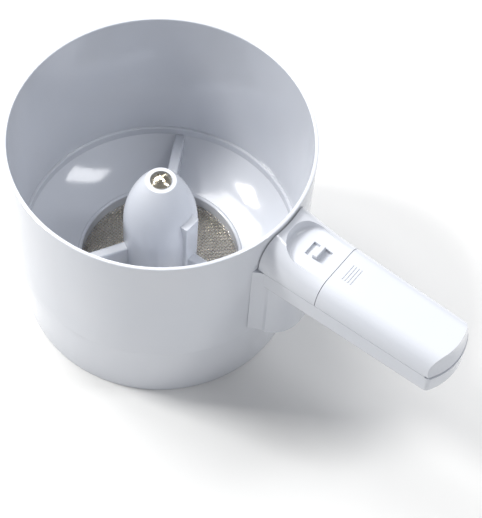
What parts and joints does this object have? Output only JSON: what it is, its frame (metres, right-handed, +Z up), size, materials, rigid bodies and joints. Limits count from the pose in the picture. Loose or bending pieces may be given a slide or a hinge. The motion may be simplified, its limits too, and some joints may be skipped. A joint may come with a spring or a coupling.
{
  "type": "flour_sifter",
  "caption": "Battery-driven flour sifter: round white cup, funnel with a three-armed motor tower, mesh screen with agitator, side handle with thumb switch and sliding battery cover",
  "frame": {"origin": "centre of the cup's base rim, level with the table the sifter stands on", "axes": "+X runs out along the handle, +Z runs up along the cup's axis, +Y is to the left of the handle seen from the cup"},
  "size_m": [0.2316, 0.14, 0.112],
  "materials": {
    "white_shell": "smooth glossy white moulding",
    "white_nylon": "natural white nylon",
    "nickel_screw": "nickel-plated, bright",
    "steel_mesh": "woven stainless wire",
    "bare_steel": "drawn bright steel",
    "brass": "turned or stamped brass",
    "copper_winding": "varnished copper wire",
    "dark_ferrite": "sintered ferrite",
    "black_rubber": "soft rubber",
    "black_plastic": "plain black moulding",
    "plated_spring": "nickel-plated spring steel",
    "cell_wrap": "plain dark sleeve",
    "red_wire": "PVC sleeve",
    "black_wire": "PVC sleeve"
  },
  "bodies": {
    "sifter_body": {"cup_body": "white_shell", "funnel_tower": "white_shell", "wire_riser_cover": "white_shell", "wire_channel_cover": "white_shell", "handle_top_shell": "white_shell", "screen_ring": "white_shell", "gearbox_cover": "white_nylon", "motor_plate": "white_nylon", "motor_bracket": "white_nylon", "battery_tray": "white_nylon", "switch_frame": "white_nylon", "tower_screw": "nickel_screw", "gearbox_screws": "nickel_screw", "screen_screws": "nickel_screw", "handle_screws": "nickel_screw", "mesh_screen": "steel_mesh", "motor_can": "bare_steel", "side_axle": "bare_steel", "motor_front_bearing": "brass", "output_bush": "brass", "motor_terminals": "brass", "switch_terminals": "brass", "motor_magnets": "dark_ferrite", "shaft_seal": "black_rubber", "motor_end_cap": "black_plastic", "switch_body": "black_plastic", "contact_plates": "plated_spring", "contact_springs": "plated_spring", "battery_left": "cell_wrap", "battery_right": "cell_wrap", "switch_feed_wire": "red_wire", "battery_feed_wire": "red_wire", "battery_return_wire": "black_wire"},
    "agitator_set": {"output_shaft": "bare_steel", "output_gear": "white_nylon", "agitator": "white_nylon", "retaining_clip": "bare_steel"},
    "side_gear": {"compound_gear": "white_nylon"},
    "motor_armature": {"motor_rotor": "copper_winding", "motor_shaft": "bare_steel", "motor_pinion": "brass"},
    "thumb_switch": {"switch_knob": "white_shell"},
    "battery_door": {"battery_cover": "white_shell"}
  },
  "joints": [
    {"name": "motor_spin", "type": "hinge", "parent": "sifter_body", "child": "motor_armature", "pos_m": [0, 0, 0.045], "axis": [0, 0, 1], "continuous": true},
    {"name": "side_gear_spin", "type": "hinge", "parent": "sifter_body", "child": "side_gear", "pos_m": [0, 0.0084, 0.027], "axis": [0, 0, 1], "continuous": true},
    {"name": "agitator_spin", "type": "hinge", "parent": "sifter_body", "child": "agitator_set", "pos_m": [0, 0, 0.018], "axis": [0, 0, 1], "continuous": true},
    {"name": "switch_slide", "type": "slide", "parent": "sifter_body", "child": "thumb_switch", "axis": [1, 0, 0], "range_m": [-0.0019, 0.0019]},
    {"name": "battery_cover_slide", "type": "slide", "parent": "sifter_body", "child": "battery_door", "axis": [1, 0, 0], "range_m": [0, 0.052]}
  ],
  "couplings": [
    {"joint": "side_gear_spin", "follows": "motor_spin", "ratio": -0.3125},
    {"joint": "agitator_spin", "follows": "motor_spin", "ratio": 0.097656}
  ]
}
